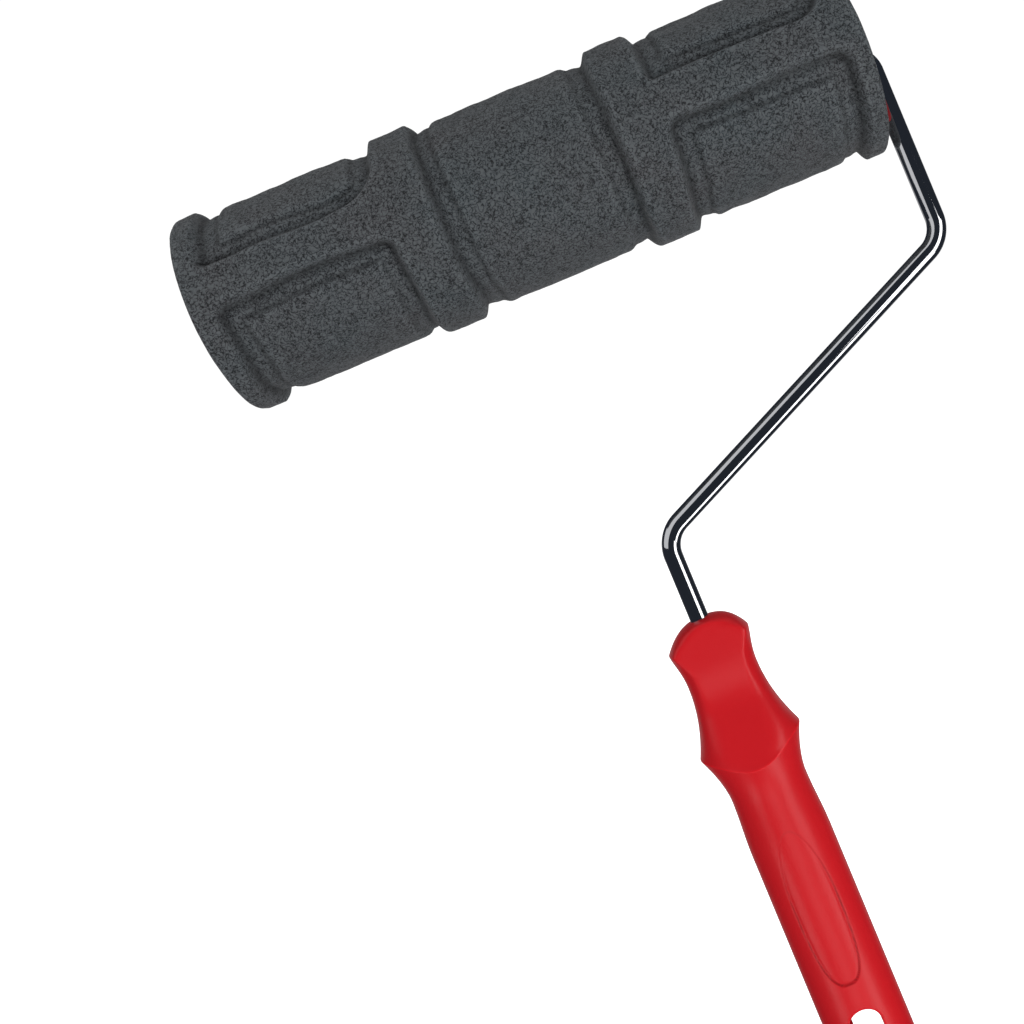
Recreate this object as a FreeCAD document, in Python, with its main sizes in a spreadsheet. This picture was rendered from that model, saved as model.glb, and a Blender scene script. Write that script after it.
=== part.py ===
"""Brick-pattern texture roller: a foam sleeve on a wire cage that spins on a bent rod with a handle.

Row frame, in millimetres: the origin is the centre of the handle's open end, +Z runs up the handle to the
roller, +X runs along the axle towards the arm of the rod, and the front of the tool faces -Y.
"""
import FreeCAD
import Part
import math
import os
import Sketcher
from FreeCAD import Placement, Rotation, Vector

OUT_DIR = "parts"

# ------------------------------------------------------------------ driving dimensions, in mm and degrees
DIMENSIONS = {
    # foam pattern sleeve and the tube that it is bonded to
    "sleeve_length": 180.0,
    "rib_radius": 27.3,
    "pad_radius": 25.6,
    "groove_radius": 24.1,
    "ring_offset": 30.0,
    "ring_width": 12.0,
    "end_ring_width": 6.5,
    "rib_slope": 1.2,
    "groove_width": 2.6,
    "pad_shoulder": 3.6,
    "sleeve_edge": 1.6,
    "bar_angle": 26.0,
    "bar_rise": 8.0,
    "core_wall": 1.2,
    "core_bore": 18.5,
    "core_inset": 0.5,
    "bond_gap": 0.05,
    # wire cage
    "cap_clearance": 0.4,
    "cap_depth": 16.0,
    "cap_wall": 3.0,
    "web_thick": 3.0,
    "web_inset": 9.0,
    "hub_wall": 2.4,
    "fin_thick": 1.6,
    "flange_reach": 1.4,
    "flange_thick": 1.0,
    "sleeve_gap": 0.3,
    "cage_wire_radius": 0.9,
    "cage_wire_count": 5,
    "wire_seat": 6.0,
    "wire_bow": 0.7,
    "wire_play": 0.2,
    "nose_inset": 1.0,
    "cover_thick": 1.5,
    "cover_gap": 0.1,
    # bearings and their retainers on the axle
    "bush_wall": 1.7,
    "bush_flange_thick": 1.0,
    "bush_flange_reach": 1.5,
    "running_gap": 0.06,
    "press_gap": 0.02,
    "end_play": 0.15,
    "washer_thick": 0.8,
    "washer_reach": 3.0,
    "collar_length": 2.0,
    "collar_reach": 2.4,
    "nut_thick": 1.1,
    "nut_reach": 2.8,
    "nut_slot": 0.8,
    "nut_slot_count": 6,
    "axle_tail": 0.9,
    # bent rod
    "rod_radius": 2.6,
    "arm_gap": 2.3,
    "axle_bend": 6.5,
    "elbow_bend": 9.0,
    "frame_height": 123.0,
    "elbow_drop": 53.9,
    "crook_drop": 99.5,
    "tang_depth": 62.0,
    "roller_offset": 4.0,
    # handle
    "handle_length": 142.0,
    "grip_width": 22.7,
    "grip_depth": 24.0,
    "palm_drop": 64.0,
    "waist_width": 21.4,
    "waist_depth": 23.0,
    "waist_drop": 48.0,
    "flare_power": 1.7,
    "collar_width": 28.6,
    "collar_depth": 27.0,
    "collar_drop": 35.4,
    "neck_width": 19.8,
    "neck_depth": 21.0,
    "neck_drop": 16.0,
    "crown_width": 22.8,
    "crown_depth": 22.0,
    "crown_drop": 6.4,
    "top_width": 10.4,
    "top_depth": 9.6,
    "end_round": 1.6,
    "scoop_radius": 71.0,
    "scoop_depth": 14.8,
    "scoop_drop": 12.0,
    "slot_width": 8.4,
    "slot_length": 21.3,
    "slot_rise": 13.5,
    "socket_radius": 8.0,
    "socket_depth": 60.0,
    "oval_length": 42.4,
    "oval_width": 12.2,
    "oval_rise": 42.4,
    "oval_sink": 0.5,
}

doc = FreeCAD.newDocument("pattern_roller")


def make_sheet():
    """The spreadsheet that every size is bound to: one named number to a row."""
    sheet = doc.addObject("Spreadsheet::Sheet", "dims")
    for row, (alias, value) in enumerate(DIMENSIONS.items(), start=1):
        sheet.set(f"A{row}", alias)
        sheet.set(f"B{row}", str(value))
        sheet.setAlias(f"B{row}", alias)
    doc.recompute()
    return sheet


dims = make_sheet()


def value(expression):
    """The number that an expression on the sheet comes to."""
    found = dims.evalExpression(expression)
    return float(getattr(found, "Value", found))


# ------------------------------------------------------------------ places worked out from the sheet
# Along the axle, x is counted from the roller's middle, and the cage stands between these planes.
HALF = "(dims.sleeve_length / 2)"
AXLE_Z = "(dims.handle_length + dims.frame_height)"
CORE_OUTER = "(dims.core_bore + dims.core_wall)"
CAP_RADIUS = "(dims.core_bore - dims.cap_clearance)"
CAP_INNER = f"({CAP_RADIUS} - dims.cap_wall)"
BUSH_BORE = "(dims.rod_radius + dims.running_gap)"
BUSH_OUTER = f"({BUSH_BORE} + dims.bush_wall)"
BUSH_FLANGE = f"({BUSH_OUTER} + dims.bush_flange_reach)"
HUB_BORE = f"({BUSH_OUTER} + dims.press_gap)"
HUB_OUTER = f"({HUB_BORE} + dims.hub_wall)"
WIRE_RING = f"({CAP_INNER} + dims.cap_wall / 2)"
TIGHT_BORE = "(dims.rod_radius + dims.press_gap)"
ARM_X = f"({HALF} + dims.arm_gap + dims.rod_radius)"

# Planes of the arm side, from the flange inwards, and of the free side, from the nose inwards.
ARM_CAP_END = f"({HALF} - dims.cap_depth)"
ARM_WEB = f"({HALF} - dims.web_inset)"
ARM_BUSH_FACE = f"({ARM_WEB} + dims.bush_flange_thick)"
ARM_WASHER_FACE = f"({ARM_BUSH_FACE} + dims.end_play + dims.washer_thick)"
ARM_COLLAR_FACE = f"({ARM_WASHER_FACE} + dims.end_play)"
NOSE = f"(-{HALF} + dims.nose_inset)"
FREE_CAP_END = f"(-{HALF} + dims.cap_depth)"
FREE_WEB = f"(-{HALF} + dims.web_inset)"
FREE_BUSH_FACE = f"({FREE_WEB} - dims.bush_flange_thick)"
FREE_WASHER_FACE = f"({FREE_BUSH_FACE} - dims.end_play - dims.washer_thick)"
NUT_FACE = f"({FREE_WASHER_FACE} - dims.end_play - dims.nut_thick)"
AXLE_END = f"({NUT_FACE} - dims.axle_tail)"


# ------------------------------------------------------------------ sketch and feature helpers
def plane_of(body, role):
    """One of the body's own origin planes or axes."""
    return next(f for f in body.Origin.OriginFeatures if f.Role == role)


def new_body(label, on_axle=True):
    """A body whose frame is the roller's middle on the axle, or the row frame."""
    body = doc.addObject("PartDesign::Body", label)
    body.Label = label
    if on_axle:
        body.setExpression("Placement.Base.x", "dims.roller_offset")
        body.setExpression("Placement.Base.z", AXLE_Z)
    return body


def new_sketch(body, role, tag):
    """An empty sketch on one of the body's origin planes."""
    sketch = body.newObject("Sketcher::SketchObject", f"{body.Name}_{tag}")
    sketch.AttachmentSupport = [(plane_of(body, role), "")]
    sketch.MapMode = "FlatFace"
    return sketch


def pin_point(sketch, geo, pos, x_expr, y_expr):
    """Ties a sketch point to the sheet by its distances from the sketch's origin."""
    for kind, expression in (("DistanceX", x_expr), ("DistanceY", y_expr)):
        at = sketch.addConstraint(Sketcher.Constraint(kind, -1, 1, geo, pos, value(expression)))
        sketch.setExpression(f"Constraints[{at}]", expression)


def outline(sketch, points):
    """A closed polygon whose corners are pairs of expressions."""
    spots = [Vector(value(x), value(y), 0) for x, y in points]
    count = len(points)
    for i in range(count):
        sketch.addGeometry(Part.LineSegment(spots[i], spots[(i + 1) % count]), False)
    for i in range(count):
        sketch.addConstraint(Sketcher.Constraint("Coincident", i, 2, (i + 1) % count, 1))
    for i, (x_expr, y_expr) in enumerate(points):
        pin_point(sketch, i, 1, x_expr, y_expr)


def circle(sketch, x_expr, y_expr, radius_expr):
    """A circle with its centre and radius on the sheet."""
    centre = Vector(value(x_expr), value(y_expr), 0)
    geo = sketch.addGeometry(Part.Circle(centre, Vector(0, 0, 1), value(radius_expr)), False)
    if centre.Length:
        pin_point(sketch, geo, 3, x_expr, y_expr)
    else:
        sketch.addConstraint(Sketcher.Constraint("Coincident", geo, 3, -1, 1))
    at = sketch.addConstraint(Sketcher.Constraint("Radius", geo, value(radius_expr)))
    sketch.setExpression(f"Constraints[{at}]", radius_expr)


def revolve(body, tag, points, angle_expr=None, turn_expr=None):
    """Revolves a profile of (x along the axle, radius) about the axle, whole or as a turned sector."""
    sketch = new_sketch(body, "XZ_Plane", f"{tag}_profile")
    outline(sketch, points)
    feature = body.newObject("PartDesign::Revolution", f"{body.Name}_{tag}")
    feature.Profile = sketch
    feature.ReferenceAxis = (sketch, ["H_Axis"])
    if angle_expr:
        sketch.AttachmentOffset = Placement(Vector(), Rotation(Vector(1, 0, 0), value(turn_expr)))
        sketch.setExpression("AttachmentOffset.Rotation.Angle", turn_expr)
        feature.Midplane = True
        feature.setExpression("Angle", angle_expr)
    return feature


def ring(label, start, end, inner, outer):
    """A plain ring, tube or washer on the axle."""
    body = new_body(label)
    revolve(body, "ring", [(start, inner), (end, inner), (end, outer), (start, outer)])
    return body


def around_axle(body, feature, count_expr, tag):
    """Repeats a feature evenly round the axle."""
    pattern = body.newObject("PartDesign::PolarPattern", f"{body.Name}_{tag}")
    pattern.Originals = [feature]
    pattern.Axis = (plane_of(body, "X_Axis"), [""])
    pattern.Angle = 360.0
    pattern.Occurrences = int(value(count_expr))
    pattern.setExpression("Occurrences", count_expr)
    body.Tip = pattern
    return pattern


def rounded_path(sketch, corners, bends):
    """Straight runs joined by tangent arcs, from corners as pairs of expressions and a radius at each bend.

    A construction line joins each pair of corners, and the runs lie on those lines.
    """
    spots = [Vector(value(x), value(y), 0) for x, y in corners]
    guides = []
    for i in range(len(spots) - 1):
        guides.append(sketch.addGeometry(Part.LineSegment(spots[i], spots[i + 1]), True))
        pin_point(sketch, guides[i], 1, *corners[i])
        pin_point(sketch, guides[i], 2, *corners[i + 1])
    starts, ends = [spots[0]], []
    arcs = []
    for i, bend in enumerate(bends, start=1):
        back = (spots[i - 1] - spots[i]).normalize()
        ahead = (spots[i + 1] - spots[i]).normalize()
        half_turn = (math.pi - back.getAngle(ahead)) / 2
        radius = value(bend)
        reach = radius * math.tan(half_turn)
        middle = spots[i] + (back + ahead).normalize() * (radius / math.cos(half_turn) - radius)
        arcs.append(Part.Arc(spots[i] + back * reach, middle, spots[i] + ahead * reach))
        ends.append(spots[i] + back * reach)
        starts.append(spots[i] + ahead * reach)
    ends.append(spots[-1])
    runs = [sketch.addGeometry(Part.LineSegment(a, b), False) for a, b in zip(starts, ends)]
    sketch.addConstraint(Sketcher.Constraint("Coincident", runs[0], 1, guides[0], 1))
    sketch.addConstraint(Sketcher.Constraint("Coincident", runs[-1], 2, guides[-1], 2))
    for i, arc in enumerate(arcs):
        bend = sketch.addGeometry(arc, False)
        # The arc may run either way, so the end beside the incoming run is the nearer of its two.
        gaps = [sketch.getPoint(bend, end).distanceToPoint(ends[i]) for end in (1, 2)]
        at_in, at_out = (1, 2) if gaps[0] < gaps[1] else (2, 1)
        sketch.addConstraint(Sketcher.Constraint("Tangent", runs[i], 2, bend, at_in))
        sketch.addConstraint(Sketcher.Constraint("Tangent", runs[i + 1], 1, bend, at_out))
        radius_at = sketch.addConstraint(Sketcher.Constraint("Radius", bend, value(bends[i])))
        sketch.setExpression(f"Constraints[{radius_at}]", bends[i])
        sketch.addConstraint(Sketcher.Constraint("PointOnObject", runs[i], 2, guides[i]))
        sketch.addConstraint(Sketcher.Constraint("PointOnObject", runs[i + 1], 1, guides[i + 1]))


def pipe(body, tag, section, path):
    """Carries a section along a path."""
    feature = body.newObject("PartDesign::AdditivePipe", f"{body.Name}_{tag}")
    feature.Profile = section
    feature.Spine = path
    return feature


# ------------------------------------------------------------------ the pattern sleeve and its tube
def make_pattern_sleeve():
    """Foam tube with raised mortar ribs: two end rings, two inner rings and one bar to each course."""
    body = new_body("pattern_sleeve")
    bore = f"({CORE_OUTER} + dims.bond_gap)"
    ring_out = "(dims.ring_offset + dims.ring_width / 2)"
    ring_in = "(dims.ring_offset - dims.ring_width / 2)"
    end_in = f"({HALF} - dims.end_ring_width)"
    # The right half's outer line, from the middle of the sleeve to its end.
    half_line = [
        (f"{ring_in} - dims.groove_width - dims.pad_shoulder", "dims.pad_radius"),
        (f"{ring_in} - dims.groove_width", "dims.groove_radius"),
        (f"{ring_in}", "dims.groove_radius"),
        (f"{ring_in} + dims.rib_slope", "dims.rib_radius"),
        (f"{ring_out} - dims.rib_slope", "dims.rib_radius"),
        (f"{ring_out}", "dims.groove_radius"),
        (f"{ring_out} + dims.groove_width", "dims.groove_radius"),
        (f"{ring_out} + dims.groove_width + dims.pad_shoulder", "dims.pad_radius"),
        (f"{end_in} - dims.groove_width - dims.pad_shoulder", "dims.pad_radius"),
        (f"{end_in} - dims.groove_width", "dims.groove_radius"),
        (f"{end_in}", "dims.groove_radius"),
        (f"{end_in} + dims.rib_slope", "dims.rib_radius"),
        (f"{HALF} - dims.sleeve_edge", "dims.rib_radius"),
        (f"{HALF}", "dims.rib_radius - dims.sleeve_edge"),
        (f"{HALF}", bore),
    ]
    mirrored = [(f"-({x})", radius) for x, radius in reversed(half_line)]
    revolve(body, "relief", mirrored + half_line)
    # The bars: the outer courses have theirs at the front, the middle course half a brick round.
    root = "(dims.groove_radius - dims.bond_gap)"
    front = "90 - dims.bar_rise"
    columns = (
        ("arm_bar", "dims.ring_offset", end_in + " + dims.rib_slope", front),
        ("free_bar", f"-({end_in} + dims.rib_slope)", "-dims.ring_offset", front),
        ("middle_bar", "-dims.ring_offset", "dims.ring_offset", f"({front}) + 180"),
    )
    for tag, start, end, turn in columns:
        profile = [(start, root), (end, root), (end, "dims.rib_radius"), (start, "dims.rib_radius")]
        revolve(body, tag, profile, "dims.bar_angle", turn)
    return body


def make_core_tube():
    """The thin plastic tube that the foam is bonded to, and that slides over the cage."""
    start = f"-({HALF} - dims.core_inset)"
    end = f"({HALF} - dims.core_inset)"
    return ring("core_tube", start, end, "dims.core_bore", CORE_OUTER)


# ------------------------------------------------------------------ the cage
def cut_wire_seats(body, cap_end, inwards):
    """Blind holes in the cap's skirt for the wires' ends. inwards is the way the holes go in, -1 or 1."""
    sketch = new_sketch(body, "YZ_Plane", "seat_circle")
    sketch.setExpression("AttachmentOffset.Base.z", cap_end)
    circle(sketch, "0", WIRE_RING, "dims.cage_wire_radius + dims.wire_play")
    doc.recompute()
    pocket = body.newObject("PartDesign::Pocket", f"{body.Name}_seat")
    pocket.Profile = sketch
    pocket.Reversed = inwards > 0
    pocket.setExpression("Length", "dims.wire_seat")
    doc.recompute()
    around_axle(body, pocket, "dims.cage_wire_count", "seats")


def add_fins(body, start, end):
    """Radial fins that tie the hub to the skirt, half way between the wire seats."""
    sketch = new_sketch(body, "XY_Plane", "fin_outline")
    low = f"-({CAP_INNER} + dims.cap_wall / 4)"
    high = f"-({HUB_OUTER} - dims.hub_wall / 2)"
    outline(sketch, [(start, low), (end, low), (end, high), (start, high)])
    turn = "90 / dims.cage_wire_count"
    sketch.AttachmentOffset = Placement(Vector(), Rotation(Vector(1, 0, 0), value(turn)))
    sketch.setExpression("AttachmentOffset.Rotation.Angle", turn)
    fin = body.newObject("PartDesign::Pad", f"{body.Name}_fin")
    fin.Profile = sketch
    fin.Midplane = True
    fin.setExpression("Length", "dims.fin_thick")
    doc.recompute()
    around_axle(body, fin, "dims.cage_wire_count", "fins")


def make_arm_end_cap():
    """The cap beside the arm. Its flange stops the sleeve, and its dished face clears the rod's bend."""
    body = new_body("arm_end_cap")
    face = f"({HALF} + dims.sleeve_gap)"
    web_back = f"({ARM_WEB} - dims.web_thick)"
    flange = f"({CORE_OUTER} + dims.flange_reach)"
    profile = [
        (ARM_CAP_END, HUB_BORE),
        (ARM_WEB, HUB_BORE),
        (ARM_WEB, CAP_INNER),
        (f"{face} + dims.flange_thick", CAP_INNER),
        (f"{face} + dims.flange_thick", flange),
        (face, flange),
        (face, CAP_RADIUS),
        (ARM_CAP_END, CAP_RADIUS),
        (ARM_CAP_END, CAP_INNER),
        (web_back, CAP_INNER),
        (web_back, HUB_OUTER),
        (ARM_CAP_END, HUB_OUTER),
    ]
    revolve(body, "dish", profile)
    add_fins(body, ARM_CAP_END, web_back)
    cut_wire_seats(body, ARM_CAP_END, 1)
    return body


def make_free_end_cap():
    """The cap at the rod's free end, small and chamfered so that the sleeve slides over it."""
    body = new_body("free_end_cap")
    web_back = f"({FREE_WEB} + dims.web_thick)"
    chamfer = "(dims.cap_wall / 2)"
    profile = [
        (FREE_WEB, HUB_BORE),
        (FREE_CAP_END, HUB_BORE),
        (FREE_CAP_END, HUB_OUTER),
        (web_back, HUB_OUTER),
        (web_back, CAP_INNER),
        (FREE_CAP_END, CAP_INNER),
        (FREE_CAP_END, CAP_RADIUS),
        (f"{NOSE} + {chamfer}", CAP_RADIUS),
        (NOSE, f"{CAP_RADIUS} - {chamfer}"),
        (NOSE, CAP_INNER),
        (FREE_WEB, CAP_INNER),
    ]
    revolve(body, "dish", profile)
    add_fins(body, web_back, FREE_CAP_END)
    cut_wire_seats(body, FREE_CAP_END, -1)
    return body


def make_end_cover():
    """The snap-in disc that closes the free end cap over the push nut."""
    body = new_body("end_cover")
    rim = f"({CAP_INNER} - dims.cover_gap)"
    back = f"({NOSE} + dims.cover_thick)"
    skirt = f"({back} + dims.cover_thick)"
    inner = f"({rim} - dims.cover_thick)"
    profile = [(NOSE, "0"), (back, "0"), (back, inner), (skirt, inner), (skirt, rim), (NOSE, rim)]
    revolve(body, "disc", profile)
    return body


def make_cage_wire(number):
    """One spring wire of the cage: an arc that bows outwards to grip the sleeve's tube."""
    body = new_body(f"cage_wire_{number}")
    turn = f"{number - 1} * 360 / dims.cage_wire_count"
    body.Placement = Placement(Vector(), Rotation(Vector(1, 0, 0), value(turn)))
    body.setExpression("Placement.Rotation.Angle", turn)
    body.setExpression("Placement.Base.x", "dims.roller_offset")
    body.setExpression("Placement.Base.z", AXLE_Z)
    seat_gap = "dims.wire_play"
    reach = f"({HALF} - dims.cap_depth + dims.wire_seat - {seat_gap})"
    radius = f"({reach} ^ 2 / (2 * dims.wire_bow) + dims.wire_bow / 2)"
    path = new_sketch(body, "XZ_Plane", "path")
    left = Vector(-value(reach), value(WIRE_RING), 0)
    right = Vector(value(reach), value(WIRE_RING), 0)
    top = Vector(0, value(f"{WIRE_RING} + dims.wire_bow"), 0)
    arc = path.addGeometry(Part.Arc(left, top, right), False)
    starts_left = path.getPoint(arc, 1).x < 0
    pin_point(path, arc, 1 if starts_left else 2, f"-{reach}", WIRE_RING)
    pin_point(path, arc, 2 if starts_left else 1, reach, WIRE_RING)
    at = path.addConstraint(Sketcher.Constraint("Radius", arc, value(radius)))
    path.setExpression(f"Constraints[{at}]", radius)
    section = new_sketch(body, "YZ_Plane", "section")
    circle(section, "0", f"{WIRE_RING} + dims.wire_bow", "dims.cage_wire_radius")
    section.setExpression("AttachmentOffset.Base.z", f"-{reach}")
    # The section stands at the arc's end, so its centre drops from the bow's top to the wire ring.
    section.setExpression("AttachmentOffset.Base.y", "-dims.wire_bow")
    pipe(body, "wire", section, path)
    return body


def make_bush(label, flange_face, web, hub_end):
    """A flanged nylon bearing pressed into a cap's hub."""
    body = new_body(label)
    profile = [
        (hub_end, BUSH_BORE),
        (hub_end, BUSH_OUTER),
        (web, BUSH_OUTER),
        (web, BUSH_FLANGE),
        (flange_face, BUSH_FLANGE),
        (flange_face, BUSH_BORE),
    ]
    revolve(body, "bush", profile)
    return body


# ------------------------------------------------------------------ what stands still on the rod
def make_push_nut():
    """The star-lock nut pressed on the axle's end: a flat rim with slotted fingers that dish outwards."""
    body = new_body("push_nut")
    outer = "(dims.rod_radius + dims.nut_reach)"
    mid = "(dims.rod_radius + dims.nut_reach / 2)"
    back = f"({NUT_FACE} + dims.nut_thick)"
    half_thick = "(dims.nut_thick / 2)"
    profile = [
        (f"{back} - {half_thick}", TIGHT_BORE),
        (back, mid),
        (back, outer),
        (f"{back} - {half_thick}", outer),
        (f"{back} - {half_thick}", mid),
        (NUT_FACE, TIGHT_BORE),
    ]
    revolve(body, "dished_ring", profile)
    sketch = new_sketch(body, "XY_Plane", "slot_outline")
    low, high = "(dims.rod_radius - dims.nut_slot)", mid
    start, end = f"({NUT_FACE} - dims.nut_thick)", f"({back} + dims.nut_thick)"
    outline(sketch, [(start, low), (end, low), (end, high), (start, high)])
    slot = body.newObject("PartDesign::Pocket", "push_nut_slot")
    slot.Profile = sketch
    slot.Midplane = True
    slot.setExpression("Length", "dims.nut_slot")
    doc.recompute()
    around_axle(body, slot, "dims.nut_slot_count", "slots")
    return body


def make_frame_rod():
    """The bent steel rod: axle, arm, diagonal and the tang inside the handle."""
    body = new_body("frame_rod", on_axle=False)
    arm_x = f"(dims.roller_offset + {ARM_X})"
    tang_end = "(dims.handle_length - dims.tang_depth)"
    start_x = f"(dims.roller_offset + {AXLE_END})"
    corners = [
        (start_x, AXLE_Z),
        (arm_x, AXLE_Z),
        (arm_x, f"{AXLE_Z} - dims.elbow_drop"),
        ("0", f"{AXLE_Z} - dims.crook_drop"),
        ("0", tang_end),
    ]
    path = new_sketch(body, "XZ_Plane", "path")
    rounded_path(path, corners, ["dims.axle_bend", "dims.elbow_bend", "dims.elbow_bend"])
    section = new_sketch(body, "YZ_Plane", "section")
    section.setExpression("AttachmentOffset.Base.z", start_x)
    circle(section, "0", AXLE_Z, "dims.rod_radius")
    pipe(body, "rod", section, path)
    return body


# ------------------------------------------------------------------ the handle
def oval_wire(height, half_width, half_depth):
    """An ellipse across the handle at a height."""
    turned = half_depth > half_width
    across = Vector(0, 1, 0) if turned else Vector(1, 0, 0)
    long_axis, short_axis = max(half_width, half_depth), min(half_width, half_depth)
    centre = Vector(0, 0, height)
    along = Vector(0, 0, 1).cross(across)
    ellipse = Part.Ellipse(centre + across * long_axis, centre + along * short_axis, centre)
    # The seam lies at the back of each section, so that a loft through them doesn't twist.
    return Part.Wire([ellipse.toShape()])


def ease(share):
    """Half a cosine wave from 0 to 1."""
    return (1 - math.cos(math.pi * share)) / 2


def spaced(start, end, count):
    """Evenly spaced shares between two values, both ends included."""
    return [start + (end - start) * i / (count - 1) for i in range(count)]


def handle_shape(sink=0.0):
    """The handle before it is cut, or the same shape sunk evenly below its surface.

    Each stretch is a loft: the domed crown, the neck that narrows and then flares as a parabola, the flare
    below the collar's crest, the straight grip and the rounded end.
    """
    girth = {name: (getattr(dims, name + "_width") - 2 * sink, getattr(dims, name + "_depth") - 2 * sink)
             for name in ("top", "crown", "neck", "collar", "waist", "grip")}

    def blend(drop, first, last, share):
        """The section at a drop below the top, a share of the way from one named girth to another."""
        width, depth = [a + (b - a) * share for a, b in zip(girth[first], girth[last])]
        return oval_wire(dims.handle_length - drop, width / 2, depth / 2)

    crown = [blend(dims.crown_drop * (1 - math.cos(a)), "top", "crown", math.sin(a))
             for a in spaced(0, math.pi / 2, 6)]
    neck = [blend(dims.crown_drop + (dims.neck_drop - dims.crown_drop) * k, "crown", "neck", ease(k))
            for k in spaced(0, 1, 5)]
    swell = [blend(dims.neck_drop + (dims.collar_drop - dims.neck_drop) * k, "neck", "collar", k ** 2)
             for k in spaced(0, 1, 7)]
    flare = [blend(dims.collar_drop + (dims.waist_drop - dims.collar_drop) * k, "collar", "waist",
                   1 - (1 - k) ** dims.flare_power) for k in spaced(0, 1, 6)]
    palm = [blend(dims.waist_drop + (dims.palm_drop - dims.waist_drop) * k, "waist", "grip", ease(k))
            for k in spaced(0, 1, 5)]
    end_drop = dims.handle_length - dims.end_round
    grip = [blend(drop, "grip", "grip", 0) for drop in (dims.palm_drop, end_drop)]
    end = []
    for a in spaced(0, math.pi / 2, 4):
        inset = dims.end_round * (1 - math.cos(a))
        width, depth = [size / 2 - inset for size in girth["grip"]]
        end.append(oval_wire(dims.end_round * (1 - math.sin(a)), width, depth))
    stretches = (crown, neck + swell[1:], flare + palm[1:], grip, end)
    solids = [Part.makeLoft(sections, True, False) for sections in stretches]
    return solids[0].multiFuse(solids[1:]).removeSplitter()


def primitive(kind, name, sizes, place=None, turn=None):
    """A Part primitive with its sizes and its place bound to the sheet. turn is an axis and an angle."""
    tool = doc.addObject(kind, name)
    for prop, expression in sizes.items():
        tool.setExpression(prop, expression)
    if turn:
        tool.Placement = Placement(Vector(), Rotation(*turn))
    for letter, expression in (place or {}).items():
        tool.setExpression(f"Placement.Base.{letter}", expression)
    return tool


def handle_cutters():
    """The tang bore, the pole socket, the hanging slot and the thumb scoops."""
    through = "(dims.collar_depth * 2)"
    across = "(dims.collar_width * 2)"
    slot_radius = "(dims.slot_width / 2)"
    along_y = (Vector(1, 0, 0), 90)
    along_x = (Vector(0, 1, 0), 90)
    tang = {"Radius": TIGHT_BORE, "Height": "dims.tang_depth * 2"}
    socket = {"Radius": "dims.socket_radius", "Height": "dims.socket_depth"}
    slot_end = {"Radius": slot_radius, "Height": through}
    web = {"Length": "dims.slot_width", "Width": through, "Height": "dims.slot_length - dims.slot_width"}
    low_at = {"y": f"{through} / 2", "z": f"dims.slot_rise + {slot_radius}"}
    high_at = {"y": f"{through} / 2", "z": f"dims.slot_rise + dims.slot_length - {slot_radius}"}
    web_at = {"x": f"-{slot_radius}", "y": f"-{through} / 2", "z": low_at["z"]}
    tools = [
        primitive("Part::Cylinder", "tang_bore", tang, {"z": "dims.handle_length - dims.tang_depth"}),
        primitive("Part::Cylinder", "pole_bore", socket),
        primitive("Part::Cylinder", "slot_low", slot_end, low_at, along_y),
        primitive("Part::Cylinder", "slot_high", slot_end, high_at, along_y),
        primitive("Part::Box", "slot_web", web, web_at),
    ]
    for side, name in (("-", "front_scoop"), ("", "back_scoop")):
        scoop = {"Radius": "dims.scoop_radius", "Height": across}
        place = {
            "x": f"-{across} / 2",
            "y": f"{side}(dims.scoop_radius + dims.scoop_depth / 2)",
            "z": "dims.handle_length - dims.scoop_drop",
        }
        tools.append(primitive("Part::Cylinder", name, scoop, place, along_x))
    return tools


def make_handle():
    """The moulded handle: its blank less the bores, the slot, the scoops and the shallow ovals."""
    blank = doc.addObject("Part::Feature", "handle_blank")
    blank.Shape = handle_shape()
    core = doc.addObject("Part::Feature", "handle_core")
    core.Shape = handle_shape(dims.oval_sink)
    oval_sizes = {
        "Radius1": "dims.oval_length / 2",
        "Radius2": "dims.oval_width / 2",
        "Radius3": "dims.grip_depth * 2",
    }
    oval_place = {"z": "dims.oval_rise + dims.oval_length / 2"}
    oval = primitive("Part::Ellipsoid", "oval_column", oval_sizes, oval_place)
    recess = doc.addObject("Part::Cut", "oval_recess")
    recess.Base = oval
    recess.Tool = core
    cutters = doc.addObject("Part::MultiFuse", "handle_cutters")
    cutters.Shapes = handle_cutters() + [recess]
    handle = doc.addObject("Part::Cut", "handle")
    handle.Base = blank
    handle.Tool = cutters
    handle.Label = "handle"
    return handle


# ------------------------------------------------------------------ the whole tool
def make_parts():
    """Every sub-part of the tool, in the order it would come off the bench."""
    parts = [make_pattern_sleeve(), make_core_tube()]
    parts += [make_arm_end_cap(), make_free_end_cap(), make_end_cover()]
    parts += [make_cage_wire(n + 1) for n in range(int(value("dims.cage_wire_count")))]
    parts.append(make_bush("arm_bush", ARM_BUSH_FACE, ARM_WEB, ARM_CAP_END))
    parts.append(make_bush("free_bush", FREE_BUSH_FACE, FREE_WEB, FREE_CAP_END))
    washer_radii = (BUSH_BORE, "(dims.rod_radius + dims.washer_reach)")
    arm_back = f"{ARM_WASHER_FACE} - dims.washer_thick"
    free_back = f"{FREE_WASHER_FACE} + dims.washer_thick"
    parts.append(ring("arm_washer", arm_back, ARM_WASHER_FACE, *washer_radii))
    parts.append(ring("free_washer", FREE_WASHER_FACE, free_back, *washer_radii))
    collar_end = f"{ARM_COLLAR_FACE} + dims.collar_length"
    collar_outer = "(dims.rod_radius + dims.collar_reach)"
    parts.append(ring("stop_collar", ARM_COLLAR_FACE, collar_end, TIGHT_BORE, collar_outer))
    parts += [make_push_nut(), make_frame_rod(), make_handle()]
    return parts


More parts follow.
